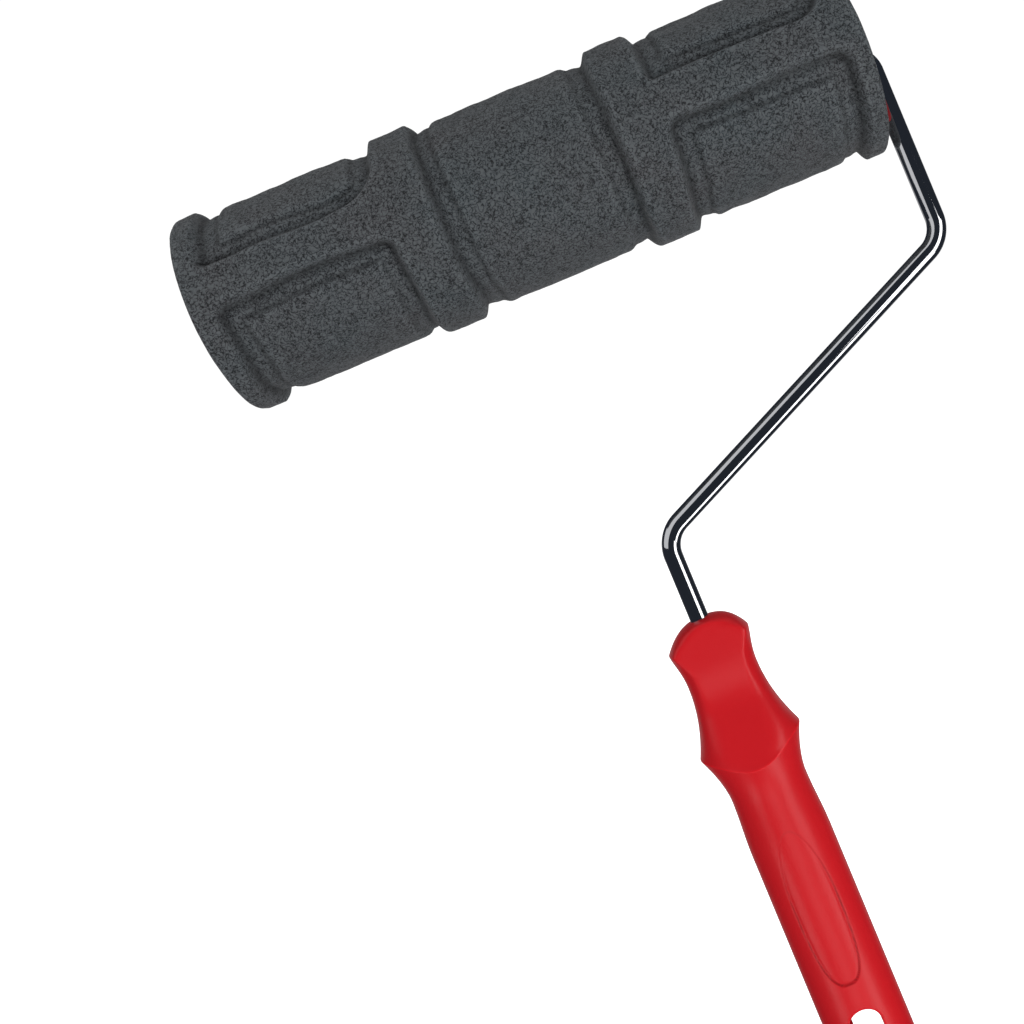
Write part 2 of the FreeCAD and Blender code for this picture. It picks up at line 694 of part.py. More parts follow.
def check(parts):
    """Stops the build if any object failed or any sub-part isn't a sound solid."""
    failed = [o.Name for o in doc.Objects if "Invalid" in o.State or "Error" in o.State]
    if failed:
        raise RuntimeError(f"these objects failed to build: {failed}")
    for part in parts:
        shape = part.Shape
        if shape.isNull() or not shape.isValid() or not shape.Solids:
            raise RuntimeError(f"{part.Label} isn't a valid solid")


def main():
    """Builds and checks every sub-part, then writes each to its own file."""
    parts = make_parts()
    doc.recompute()
    check(parts)
    os.makedirs(OUT_DIR, exist_ok=True)
    for part in parts:
        part.Shape.exportStep(os.path.join(OUT_DIR, f"{part.Label}.step"))
        print(f"{part.Label}: {part.Shape.Volume / 1000:.3f} cm3, {len(part.Shape.Solids)} solid(s)")


main()
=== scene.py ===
import math

import bmesh
import bpy
import numpy as np
from mathutils import Matrix, Vector


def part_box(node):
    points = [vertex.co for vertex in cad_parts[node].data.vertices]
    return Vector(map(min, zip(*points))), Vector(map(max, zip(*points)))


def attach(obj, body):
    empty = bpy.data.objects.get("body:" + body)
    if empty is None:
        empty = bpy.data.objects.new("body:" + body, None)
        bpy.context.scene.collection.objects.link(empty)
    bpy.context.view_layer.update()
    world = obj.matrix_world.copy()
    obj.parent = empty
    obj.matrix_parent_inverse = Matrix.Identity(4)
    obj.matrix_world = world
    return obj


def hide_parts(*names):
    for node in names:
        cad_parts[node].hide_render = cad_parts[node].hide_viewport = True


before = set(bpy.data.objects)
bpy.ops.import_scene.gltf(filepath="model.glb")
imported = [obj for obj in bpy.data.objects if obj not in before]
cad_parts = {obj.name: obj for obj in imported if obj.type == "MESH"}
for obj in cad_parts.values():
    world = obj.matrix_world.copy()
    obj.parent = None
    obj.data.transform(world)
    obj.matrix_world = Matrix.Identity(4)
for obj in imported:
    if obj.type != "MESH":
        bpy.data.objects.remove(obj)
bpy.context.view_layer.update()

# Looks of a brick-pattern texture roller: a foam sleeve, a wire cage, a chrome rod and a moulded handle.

MM = 0.001

# ------------------------------------------------------------------ sizes in millimetres, from the frame


def box_mm(node):
    """A CAD node's lowest and highest corners, in millimetres."""
    return [np.array(corner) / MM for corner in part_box(node)]


SLEEVE_LOW, SLEEVE_HIGH = box_mm("pattern_sleeve")
AXLE_Z = (SLEEVE_LOW[2] + SLEEVE_HIGH[2]) / 2
SLEEVE_X = (SLEEVE_LOW[0] + SLEEVE_HIGH[0]) / 2
HALF_SLEEVE = (SLEEVE_HIGH[0] - SLEEVE_LOW[0]) / 2
RIB_RADIUS = (SLEEVE_HIGH[2] - SLEEVE_LOW[2]) / 2
TUBE_LOW, TUBE_HIGH = box_mm("core_tube")
TUBE_OUTER = (TUBE_HIGH[2] - TUBE_LOW[2]) / 2
TUBE_WALL = 1.2
HANDLE_LENGTH = box_mm("handle")[1][2]
ROD_LOW, ROD_HIGH = box_mm("frame_rod")
ROD_RADIUS = (ROD_HIGH[1] - ROD_LOW[1]) / 2
CAP_LOW, CAP_HIGH = box_mm("arm_end_cap")
FREE_LOW, FREE_HIGH = box_mm("free_end_cap")
CAP_RADIUS = (FREE_HIGH[2] - FREE_LOW[2]) / 2
# The stop flange is drawn a little smaller than its solid, so that only an edge of it shows past the foam.
FLANGE_TRIM = 0.7
FLANGE_RADIUS = (CAP_HIGH[2] - CAP_LOW[2]) / 2 - FLANGE_TRIM


# ------------------------------------------------------------------ mesh making


def smoothstep(low, high, value):
    """3t^2 - 2t^3, where t goes from 0 at low to 1 at high."""
    t = np.clip((value - low) / (high - low), 0, 1)
    return t * t * (3 - 2 * t)


def grid_faces(rows, cols, wrap_rows=False):
    """Quads of a grid that always closes across its columns, and across its rows too if wrap_rows is set."""
    i = np.arange(rows if wrap_rows else rows - 1)[:, None]
    j = np.arange(cols)[None, :]
    nxt_i, nxt_j = (i + 1) % rows, (j + 1) % cols
    corners = [i * cols + j, i * cols + nxt_j, nxt_i * cols + nxt_j, nxt_i * cols + j]
    return np.stack([np.broadcast_to(c, (i.size, cols)) for c in corners], -1).reshape(-1, 4)


def closed_grid(points, wrap_rows=False):
    """Points of rows x columns x 3 as a solid: its vertices, its quads and its triangles.

    Without wrap_rows, a fan of triangles closes the first row, and another the last, on a pole at its mean.
    """
    rows, cols = points.shape[:2]
    verts, quads = points.reshape(-1, 3), grid_faces(rows, cols, wrap_rows)
    if wrap_rows:
        return verts, quads, np.empty((0, 3), int)
    verts = np.concatenate([verts, [points[0].mean(0), points[-1].mean(0)]])
    pole, ring = rows * cols, (rows - 1) * cols
    here = np.arange(cols)
    ahead = (here + 1) % cols
    first = np.stack([np.full(cols, pole), ahead, here], -1)
    last = np.stack([np.full(cols, pole + 1), ring + here, ring + ahead], -1)
    return verts, quads, np.concatenate([first, last])


def joined(*solids):
    """Several solids as one: the faces of each count on from the vertices before it."""
    verts, quads, tris = zip(*solids)
    starts = np.cumsum([0] + [len(v) for v in verts[:-1]])
    return (np.concatenate(verts), np.concatenate([q + start for q, start in zip(quads, starts)]),
            np.concatenate([t + start for t, start in zip(tris, starts)]))


def new_mesh(name, solid):
    """A smooth mesh from a solid in millimetres, with its faces turned outwards."""
    verts, quads, tris = solid
    mesh = bpy.data.meshes.new(name)
    mesh.from_pydata((verts * MM).tolist(), [], quads.tolist() + tris.tolist())
    work = bmesh.new()
    work.from_mesh(mesh)
    bmesh.ops.recalc_face_normals(work, faces=work.faces)
    work.to_mesh(mesh)
    work.free()
    mesh.polygons.foreach_set("use_smooth", np.ones(len(mesh.polygons), bool))
    return mesh


def placed(name, data):
    """An object at the origin for a mesh, a light or a camera."""
    made = bpy.data.objects.new(name, data)
    bpy.context.scene.collection.objects.link(made)
    return made


def piece(name, solid, body, material, node_name):
    """A solid made an object that rides on a body and stands for a CAD node."""
    made = placed(name, new_mesh(name, solid))
    made.data.materials.append(material)
    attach(made, body)
    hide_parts(node_name)
    return made


def paint(mesh, name, values):
    """Writes a number to each vertex, which the material reads as an attribute."""
    attribute = mesh.attributes.new(name, "FLOAT", "POINT")
    attribute.data.foreach_set("value", values.ravel())


def on_axle(x, radius, phi):
    """Points from distance along the axle, radius, and angle up from the front of the roller."""
    x, radius, phi = np.broadcast_arrays(x, radius, phi)
    return np.stack([SLEEVE_X + x, -radius * np.cos(phi), AXLE_Z + radius * np.sin(phi)], -1)


def around(count):
    """Evenly spaced angles of a full turn."""
    return np.arange(count) * (2 * math.pi / count)


def rounded_outline(corners, radius, steps=5):
    """A closed polygon of (x, r) with each corner made an arc of the radius, or less on a short side."""
    corners = np.array(corners, float)
    out = []
    for k in range(len(corners)):
        here = corners[k]
        back, ahead = corners[k - 1] - here, corners[(k + 1) % len(corners)] - here
        len_back, len_ahead = np.linalg.norm(back), np.linalg.norm(ahead)
        back, ahead = back / len_back, ahead / len_ahead
        half = math.acos(np.clip(back @ ahead, -1, 1)) / 2
        reach = min(radius / math.tan(half), 0.45 * len_back, 0.45 * len_ahead)
        fillet = reach * math.tan(half)
        bisector = (back + ahead) / np.linalg.norm(back + ahead)
        centre = here + bisector * fillet / math.sin(half)
        start, end = here + back * reach - centre, here + ahead * reach - centre
        turn = math.atan2(start[0] * end[1] - start[1] * end[0], start @ end)
        t = np.linspace(0, turn, steps)[:, None]
        out.append(centre + np.cos(t) * start + np.sin(t) * np.array([-start[1], start[0]]))
    return np.concatenate(out)


def lathe(corners, radius=0.3, segments=128):
    """A closed outline of (x, r), anticlockwise seen with x to the right and r up, turned about the axle."""
    outline = rounded_outline(corners, radius)
    return closed_grid(on_axle(outline[:, 0, None], outline[:, 1, None], around(segments)), True)


def disc(corners, radius=0.3, segments=128):
    """Like lathe, for an outline that starts and ends on the axle, where the nearest rings close on poles."""
    outline = rounded_outline(corners, radius)
    keep = outline[outline[:, 1] > 0.05]
    gaps = np.linalg.norm(np.roll(keep, -1, axis=0) - keep, axis=1)
    keep = np.roll(keep, -(np.argmax(gaps) + 1), axis=0)
    return closed_grid(on_axle(keep[:, 0, None], keep[:, 1, None], around(segments)))


def tube_along(path, radius, across, sides=48):
    """A round bar along a path in a plane whose normal is across: a circle square to the path at each point.

    Each end has a chamfer of 0.12 of the radius.
    """
    across = np.array(across, float)
    tangent = np.gradient(path, axis=0)
    tangent /= np.linalg.norm(tangent, axis=1, keepdims=True)
    side = np.cross(across, tangent)
    chamfer = 0.12 * radius
    path = np.concatenate([path[:1], path[:1] + tangent[:1] * chamfer, path[1:-1],
                           path[-1:] - tangent[-1:] * chamfer, path[-1:]])
    side = np.concatenate([side[:1], side, side[-1:]])
    size = np.full(len(path), radius)
    size[[0, -1]] -= chamfer
    a = around(sides)[None, :, None]
    ring = np.cos(a) * side[:, None, :] + np.sin(a) * across
    return closed_grid(path[:, None, :] + ring * size[:, None, None])


BEND_STEP = math.radians(2.0)
RUN_STEP = 3.0


def run_between(start, end):
    """Points about every RUN_STEP along a straight run, with both its ends."""
    count = max(2, int(np.linalg.norm(end - start) / RUN_STEP))
    return start + (end - start) * np.linspace(0, 1, count)[:, None]


def bent_path(corners, bends):
    """Points along straight runs with a tangent arc of each bend radius at the inner corners.

    An arc's radius turns from a to b as (sin((1 - t) turn) a + sin(t turn) b) / sin(turn).
    """
    corners = [np.array(c, float) for c in corners]
    out, start = [], corners[0]
    for k, bend in enumerate(bends, start=1):
        back, ahead = corners[k - 1] - corners[k], corners[k + 1] - corners[k]
        back, ahead = back / np.linalg.norm(back), ahead / np.linalg.norm(ahead)
        half = math.acos(np.clip(back @ ahead, -1, 1)) / 2
        reach = bend / math.tan(half)
        centre = corners[k] + (back + ahead) / np.linalg.norm(back + ahead) * bend / math.sin(half)
        arc_start, arc_end = corners[k] + back * reach, corners[k] + ahead * reach
        out.append(run_between(start, arc_start)[:-1])
        turn = math.pi - 2 * half
        a, b = (arc_start - centre) / bend, (arc_end - centre) / bend
        t = np.linspace(0, 1, max(3, int(turn / BEND_STEP)))[:, None]
        spoke = (np.sin((1 - t) * turn) * a + np.sin(t * turn) * b) / math.sin(turn)
        out.append((centre + bend * spoke)[:-1])
        start = arc_end
    out.append(run_between(start, corners[-1]))
    return np.concatenate(out)


def waves(x, phi, length, count, seed):
    """Smooth random relief of unit size: a sum of plane waves of about one wavelength over the sleeve.

    Each wave is cos(2 pi x cos(heading) / span + turns phi + phase). It goes round the sleeve a whole number
    of turns, so that the relief has no seam.
    """
    rng = np.random.default_rng(seed)
    heading = rng.uniform(0, 2 * math.pi, count)
    span = length * rng.uniform(0.75, 1.5, count)
    turns = np.round(RIB_RADIUS * 2 * math.pi * np.sin(heading) / span)
    phase = rng.uniform(0, 2 * math.pi, count)
    total = np.zeros(np.broadcast(x, phi).shape)
    for k in range(count):
        total += np.cos(2 * math.pi * np.cos(heading[k]) * x / span[k] + turns[k] * phi + phase[k])
    return total * math.sqrt(2 / count)


# ------------------------------------------------------------------ colours and nodes


def colour(text):
    """An sRGB hex colour as linear RGBA."""
    channels = [int(text[i:i + 2], 16) / 255 for i in (1, 3, 5)]
    return tuple(c / 12.92 if c <= 0.04045 else ((c + 0.055) / 1.055) ** 2.4 for c in channels) + (1.0,)


def node(tree, kind, inputs=None, **settings):
    """A shader node with its settings. Each input is a value, or the socket that it is linked from."""
    made = tree.nodes.new("ShaderNode" + kind)
    for name, setting in settings.items():
        setattr(made, name, setting)
    for key, given in (inputs or {}).items():
        socket = made.inputs[key]
        if isinstance(given, bpy.types.NodeSocket):
            tree.links.new(given, socket)
        else:
            socket.default_value = given
    return made


def new_material(name):
    """An empty material with its node tree and its output node."""
    made = bpy.data.materials.new(name)
    made.use_nodes = True
    made.node_tree.nodes.clear()
    return made, made.node_tree, node(made.node_tree, "OutputMaterial")


def per_metre(millimetres):
    """The scale of a pattern whose features are this far apart, for coordinates in metres."""
    return 1 / (millimetres * MM)


# ------------------------------------------------------------------ materials

# How far apart each pattern's features are, in millimetres. The cells of such foam are about 0.4 mm across,
# and a mould's grain is about 0.1 mm. Both are drawn coarser, so that they show.
FOAM_CELLS, FOAM_FINE, FOAM_BLOTCHES = 0.86, 0.6, 16.0
MOULD_GRAIN, PIGMENT_FLOW = 0.55, 22.0


def foam_rubber():
    """Moulded closed-cell foam rubber: matt charcoal, with a skin of fine crumpled cells that speckles it.

    The pits between cells are dark lines where a noise crosses its middle value, and the crests are paler
    where it is far from that. A vertex attribute paints shade into the hollows and a painted highlight onto
    the edges.
    """
    made, tree, out = new_material("moulded_foam_rubber")
    place = node(tree, "TexCoord").outputs["Object"]
    cells = node(tree, "TexNoise", {"Vector": place, "Scale": per_metre(FOAM_CELLS), "Detail": 1.0,
                                    "Roughness": 0.5, "Distortion": 0.4})
    offset = node(tree, "Math", {0: cells.outputs[0], 1: 0.5}, operation="SUBTRACT")
    distance = node(tree, "Math", {0: offset.outputs[0]}, operation="ABSOLUTE")
    pits = node(tree, "MapRange", {"Value": distance.outputs[0], "From Min": 0.012, "From Max": 0.060})
    crests = node(tree, "MapRange", {"Value": distance.outputs[0], "From Min": 0.06, "From Max": 0.20})
    blotches = node(tree, "TexNoise", {"Vector": place, "Scale": per_metre(FOAM_BLOTCHES), "Detail": 2.0})
    warm = node(tree, "Mix", {0: blotches.outputs[0], 6: colour("#454F53"), 7: colour("#4D4A4C")},
                data_type="RGBA")
    pitted = node(tree, "Mix", {0: pits.outputs[0], 6: colour("#17191B"), 7: warm.outputs[2]},
                  data_type="RGBA")
    raised = node(tree, "Mix", {0: crests.outputs[0], 6: pitted.outputs[2], 7: colour("#55595B")},
                  data_type="RGBA")
    # Painted shade in the hollows and a painted highlight on the edges, from a vertex attribute.
    painted_hollow_shade = node(tree, "Attribute", attribute_name="painted_crease_shade")
    shade = node(tree, "MapRange", {"Value": painted_hollow_shade.outputs["Fac"], "From Min": -0.12, "From Max": 0.40,
                                    "To Min": 1.06, "To Max": 0.46})
    colour_with_painted_shade = node(tree, "VectorMath", {0: raised.outputs[2], 1: shade.outputs[0]}, operation="MULTIPLY")
    fine = node(tree, "TexNoise", {"Vector": place, "Scale": per_metre(FOAM_FINE), "Detail": 1.0})
    height = node(tree, "Mix", {0: 0.3, 2: pits.outputs[0], 3: fine.outputs[0]})
    bump = node(tree, "Bump", {"Height": height.outputs[0], "Strength": 0.5, "Distance": 0.16 * MM})
    shader = node(tree, "BsdfPrincipled", {"Base Color": colour_with_painted_shade.outputs[0], "Roughness": 0.82, "IOR": 1.45,
                                           "Normal": bump.outputs[0], "Sheen Weight": 0.06,
                                           "Sheen Roughness": 0.5})
    tree.links.new(shader.outputs[0], out.inputs[0])
    return made


def satin_plastic(name, base, deep, roughness):
    """Moulded or extruded plastic: even colour, a waxy satin gloss and the faint grain of the mould.

    A vertex attribute paints shade into the plastic where it is positive and a highlight where it is negative.
    """
    made, tree, out = new_material(name)
    place = node(tree, "TexCoord").outputs["Object"]
    flow = node(tree, "TexNoise", {"Vector": place, "Scale": per_metre(PIGMENT_FLOW), "Detail": 2.0})
    tint = node(tree, "Mix", {0: flow.outputs[0], 6: colour(base), 7: colour(deep)}, data_type="RGBA")
    grain = node(tree, "TexNoise", {"Vector": place, "Scale": per_metre(MOULD_GRAIN), "Detail": 2.0,
                                    "Roughness": 0.6})
    gloss = node(tree, "MapRange", {"Value": grain.outputs[0], "From Min": 0.3, "From Max": 0.7,
                                    "To Min": roughness - 0.04, "To Max": roughness + 0.06})
    bump = node(tree, "Bump", {"Height": grain.outputs[0], "Strength": 0.4, "Distance": 0.08 * MM})
    # Painted shade and painted highlight read from a vertex attribute; pieces without it read 0 and keep their
    # tint.
    painted_shade_and_highlight = node(tree, "Attribute", attribute_name="painted_shade_and_highlight")
    shade = node(tree, "MapRange", {"Value": painted_shade_and_highlight.outputs["Fac"], "To Min": 1.0, "To Max": 0.45}, clamp=False)
    tint_with_painted_light = node(tree, "VectorMath", {0: tint.outputs[2], 1: shade.outputs[0]}, operation="MULTIPLY")
    shader = node(tree, "BsdfPrincipled", {"Base Color": tint_with_painted_light.outputs[0], "Roughness": gloss.outputs[0],
                                           "IOR": 1.45, "Specular IOR Level": 0.4,
                                           "Normal": bump.outputs[0]})
    tree.links.new(shader.outputs[0], out.inputs[0])
    return made


def plated_metal(name, base, roughness, line_gap, line_depth):
    """Plated steel: a mirror layer over wire or strip, with faint drawing or rolling lines under it."""
    made, tree, out = new_material(name)
    place = node(tree, "TexCoord").outputs["Object"]
    lines = node(tree, "TexNoise", {"Vector": place, "Scale": per_metre(line_gap), "Detail": 3.0})
    gloss = node(tree, "MapRange", {"Value": lines.outputs[0], "From Min": 0.3, "From Max": 0.7,
                                    "To Min": roughness * 0.7, "To Max": roughness * 1.4})
    bump = node(tree, "Bump", {"Height": lines.outputs[0], "Strength": 0.2, "Distance": line_depth * MM})
    shader = node(tree, "BsdfPrincipled", {"Base Color": colour(base), "Metallic": 1.0,
                                           "Roughness": gloss.outputs[0], "Normal": bump.outputs[0]})
    tree.links.new(shader.outputs[0], out.inputs[0])
    return made


# Foam rubber from a closed mould: charcoal that stays dull in any light, speckled, with painted shade in its
# creases and a painted highlight on its edges.
FOAM = foam_rubber()
# Polypropylene from a polished mould: a clear red with a wide soft highlight down the handle.
HANDLE_RED = satin_plastic("handle_polypropylene", "#C8121B", "#C1101A", 0.34)
# Polypropylene from a plain mould: the same red, but duller and deeper, on the caps and the cover.
CAP_RED = satin_plastic("cap_polypropylene", "#A8161E", "#9C141B", 0.42)
# Extruded polypropylene: off-white and nearly matt.
TUBE_WHITE = satin_plastic("extruded_tube_polypropylene", "#CFCDC6", "#C5C3BC", 0.5)
# Moulded nylon with no pigment: a warm ivory with a soft gloss.
NYLON = satin_plastic("natural_nylon", "#E4DFD0", "#DAD4C2", 0.45)
# Chrome plate on drawn wire: a mirror with sharp black and white bands that follow the bends.
CHROME = plated_metal("chrome_plated_rod", "#D9DADD", 0.05, 3.0, 0.004)
# Zinc plate on drawn spring wire: a cool grey with a blurred highlight.
SPRING_STEEL = plated_metal("zinc_plated_spring_wire", "#B9BCC0", 0.24, 0.5, 0.02)
# Zinc plate on rolled and pressed strip: a slightly yellow grey, duller than the wire.
ZINC = plated_metal("zinc_plated_strip", "#C3C2BA", 0.3, 0.8, 0.03)


# ------------------------------------------------------------------ the foam sleeve

PAD_RADIUS = 25.6
GROOVE_RADIUS = 24.1
# The rounding of the sleeve's two rims, and the glue between foam and tube.
SLEEVE_EDGE = 1.6
BOND_GAP = 0.05
# The three courses of brick, each from one ring rib's wall to the next, from the sleeve's middle.
COURSES = ((-83.3, -36.9), (-24.0, 23.4), (37.0, 83.8))
# The bar across each course, as its lower and upper edge in degrees up from the front.
BARS = ((-5.5, 20.5), (183.0, 208.0), (-6.5, 20.0))
# A brick's corners: above its bar towards the arm, above its bar away from the arm, and below its bar.
SWEPT_CORNER, TIGHT_CORNER, LOWER_CORNER = 8.5, 1.6, 3.4
# How far inside a brick the parts of the relief start and end: the rib's wall, the ledge and the pad's rise.
WALL_TOP, WALL_FOOT, LEDGE_END, PAD_FOOT, PAD_RUN = -1.6, 1.0, 3.4, 4.7, 2.0
# How much of the way up from groove to pad the ledge makes.
LEDGE_SHARE = 0.28
SLEEVE_RINGS, SLEEVE_COLUMNS, CUT_RINGS = 322, 288, 8


def panel_depth(x, phi, course, bar):
    """How far a point lies inside a brick, in millimetres along the surface, negative on the rib round it.

    It is the signed distance |max(q, 0)| + min(max(qx, qs), 0) - corner to a rounded rectangle that wraps
    round from the bar's upper edge to its lower edge. Smooth waves shift its outline about a little.
    """
    arc = RIB_RADIUS * math.pi / 180
    low, high = course
    wobble_x = 0.35 * waves(x, phi, length=26.0, count=10, seed=11)
    wobble_s = 0.40 * waves(x, phi, length=22.0, count=10, seed=12)
    turn = (np.degrees(phi) - bar[1]) % 360
    span = (bar[0] - bar[1]) % 360
    turn = np.where(turn > span + (360 - span) / 2, turn - 360, turn)
    px = x - (low + high) / 2 + wobble_x
    ps = (turn - span / 2) * arc + wobble_s
    above_bar, arm_side = ps < 0, px > 0
    corner = np.where(above_bar, np.where(arm_side, SWEPT_CORNER, TIGHT_CORNER), LOWER_CORNER)
    qx = np.abs(px) - (high - low) / 2 + corner
    qs = np.abs(ps) - span / 2 * arc + corner
    return corner - np.hypot(np.maximum(qx, 0), np.maximum(qs, 0)) - np.minimum(np.maximum(qx, qs), 0)


def brick_depth(x, phi):
    """How far each point lies inside the brick nearest to it: the greatest of the three courses' depths."""
    return np.maximum.reduce([panel_depth(x, phi, course, bar) for course, bar in zip(COURSES, BARS)])


def sleeve_radius(x, phi, depth):
    """The relief's radius: full on the ribs, then a smoothstep wall, a groove with a low ledge, and the pad.

    The pad's rise is 1 - (1 - t)^2.2, steep at its foot and rounded above. Smooth waves of three sizes
    roughen it all, and a quarter circle rounds the sleeve's rims.
    """
    wall = smoothstep(WALL_TOP, WALL_FOOT, depth)
    radius = RIB_RADIUS - (RIB_RADIUS - GROOVE_RADIUS) * wall
    pad = 1 - (1 - np.clip((depth - PAD_FOOT) / PAD_RUN, 0, 1)) ** 2.2
    rise = LEDGE_SHARE * smoothstep(WALL_FOOT, LEDGE_END, depth) + (1 - LEDGE_SHARE) * pad
    radius = radius + (PAD_RADIUS - GROOVE_RADIUS) * rise
    radius = radius + 0.10 * waves(x, phi, length=24.0, count=14, seed=21)
    radius = radius + 0.06 * waves(x, phi, length=7.0, count=24, seed=22)
    radius = radius + 0.02 * waves(x, phi, length=2.2, count=40, seed=23)
    edge = np.clip(np.abs(x) - (HALF_SLEEVE - SLEEVE_EDGE), 0, SLEEVE_EDGE) / SLEEVE_EDGE
    return radius - SLEEVE_EDGE * (1 - np.sqrt(np.clip(1 - edge ** 2, 0, 1)))


def crowded(low, high, count, spots, reach, extra):
    """Values from low to high, closer together near each spot.

    Their density is 1 plus a bell curve of height extra and width reach at every spot.
    """
    fine = np.linspace(low, high, 6000)
    weight = np.ones_like(fine)
    for spot in spots:
        weight += extra * np.exp(-(((fine - spot) / reach) ** 2))
    share = np.cumsum(weight)
    share = (share - share[0]) / (share[-1] - share[0])
    return np.interp(np.linspace(0, 1, count), share, fine)


def rows_at(values, spots, known):
    """The rows of an array at new spots, mixed linearly between those at the known spots."""
    place = np.interp(spots, known, np.arange(len(known)))
    low = np.minimum(place.astype(int), len(known) - 2)
    part = (place - low)[:, None]
    return values[low] * (1 - part) + values[low + 1] * part


# Its depth is painted into the foam's colour as shade in hollows and as a highlight on edges.
def painted_crease_shade(x, phi, radius):
    """How deep each point lies below the mean of the eight at 0.65 and 1.3 mm along and round the sleeve."""
    columns = np.tile(radius, 3).T
    turned = np.concatenate([phi - 2 * math.pi, phi, phi + 2 * math.pi])
    total = np.zeros_like(radius)
    for shift in (-1.3, -0.65, 0.65, 1.3):
        total += rows_at(radius, x + shift, x) + rows_at(columns, phi + shift / RIB_RADIUS, turned).T
    return total / 8 - radius


def foam_sleeve():
    """The sleeve as one closed skin: relief outside, cut ends, and the bore that is bonded to the tube.

    Rings crowd at the ribs' walls and columns at the bars' edges. A cut end runs straight in from the relief
    to the bore, roughened by waves that die away at its edges as half a sine.
    """
    walls = [edge for course in COURSES for edge in course] + [-HALF_SLEEVE, HALF_SLEEVE]
    x = crowded(-HALF_SLEEVE, HALF_SLEEVE, SLEEVE_RINGS, walls, reach=3.2, extra=1.6)
    bar_edges = [math.radians(edge + turn) for edge in BARS[0] for turn in (0, 360)]
    phi = crowded(0, 2 * math.pi, SLEEVE_COLUMNS + 1, bar_edges, reach=0.22, extra=1.0)[:-1]
    depth = brick_depth(x[:, None], phi[None, :])
    outer = sleeve_radius(x[:, None], phi[None, :], depth)
    bore = TUBE_OUTER + BOND_GAP
    shares = np.linspace(0, 1, CUT_RINGS + 1)[1:, None]
    right = outer[-1] + (bore - outer[-1]) * shares
    left = (outer[0] + (bore - outer[0]) * shares)[::-1]
    rough = waves(x[:CUT_RINGS, None] * 3, phi[None, :], length=5.0, count=20, seed=31)
    cut = 0.05 * rough * np.sin(shares * math.pi)
    points = np.concatenate([
        on_axle(x[:, None], outer, phi),
        on_axle(HALF_SLEEVE + cut, right, phi),
        on_axle(-HALF_SLEEVE + cut[::-1], left, phi),
    ])
    made = piece("foam_sleeve", closed_grid(points, True), "sleeve", FOAM, "pattern_sleeve")
    # Painted shade: the colour is darkened in the creases, and a little more at the foot of each pad, except on
    # the side where the brick ends towards the arm.
    shaded = smoothstep(-0.9, -0.2, np.gradient(depth, x, axis=0))
    painted_hollow_shade = np.zeros(points.shape[:2])
    painted_hollow_shade[:len(x)] = painted_crease_shade(x, phi, outer) + 0.13 * shaded * np.exp(-(((depth - PAD_FOOT) / 0.6) ** 2))
    paint(made.data, "painted_crease_shade", painted_hollow_shade)


# ------------------------------------------------------------------ the handle

# A drop is a distance below the handle's top, and a half is half of a width or of a depth from front to back.
CROWN_DROP, NECK_DROP, COLLAR_DROP, WAIST_DROP, PALM_DROP = 6.2, 16.0, 35.0, 48.0, 64.0
CROWN_HALF = 11.4
NECK_HALF = 9.9
COLLAR_HALF, COLLAR_HALF_DEPTH = 14.3, 13.0
WAIST_HALF, WAIST_HALF_DEPTH = 10.7, 11.5
GRIP_HALF, GRIP_HALF_DEPTH = 11.35, 12.0
# How far the collar's crest dips at front and back, and half the thickness between the scoops at the crown.
LIP_DIP = 4.4
CROWN_FLOOR = 5.5
# The oval's middle, half length and half width, where it ends, and its step and the fine groove along that.
OVAL_DROP, OVAL_HALF_LENGTH, OVAL_HALF = 78.4, 21.3, 6.2
OVAL_END = 103.0
OVAL_STEP, OVAL_GROOVE = 0.30, 0.16
# The hanging slot's half width, how far its ends are from the handle's lower end, and its lip's rounding.
SLOT_HALF = 4.2
SLOT_LOW, SLOT_HIGH = 13.5, 34.8
SLOT_LIP = 0.9
END_ROUND = 1.6
SOCKET_RADIUS = 8.0
SOCKET_DEPTH = 60.0
SOCKET_LIP = 0.5
SOCKET_CHAMFER = 0.6


def ease(share):
    """Half a cosine wave from 0 to 1."""
    return (1 - np.cos(math.pi * np.clip(share, 0, 1))) / 2


def ellipse_radius(theta, half_width, half_depth):
    """Distance from the handle's axis to an ellipse in the direction theta."""
    return 1 / np.hypot(np.cos(theta) / half_width, np.sin(theta) / half_depth)


def crest_drop(theta):
    """The drop of the collar's crest: level at the sides, and dipping as |sin|^3.4 at front and back."""
    return COLLAR_DROP + LIP_DIP * np.abs(np.sin(theta)) ** 3.4


def ramp(low, high, value):
    """The running integral of smoothstep: 0 below low, then bending up to a slope of 1 above high."""
    t = np.clip((value - low) / (high - low), 0, 1)
    return (high - low) * (t ** 3 - t ** 4 / 2) + np.maximum(value - high, 0)


def scoop_floor(drop):
    """Half the thickness between the scoops: it grows from the crown, levels off and climbs to the lip."""
    return CROWN_FLOOR + 0.11 * (drop - ramp(9.0, 16.0, drop)) + 0.32 * ramp(15.5, 26.0, drop)


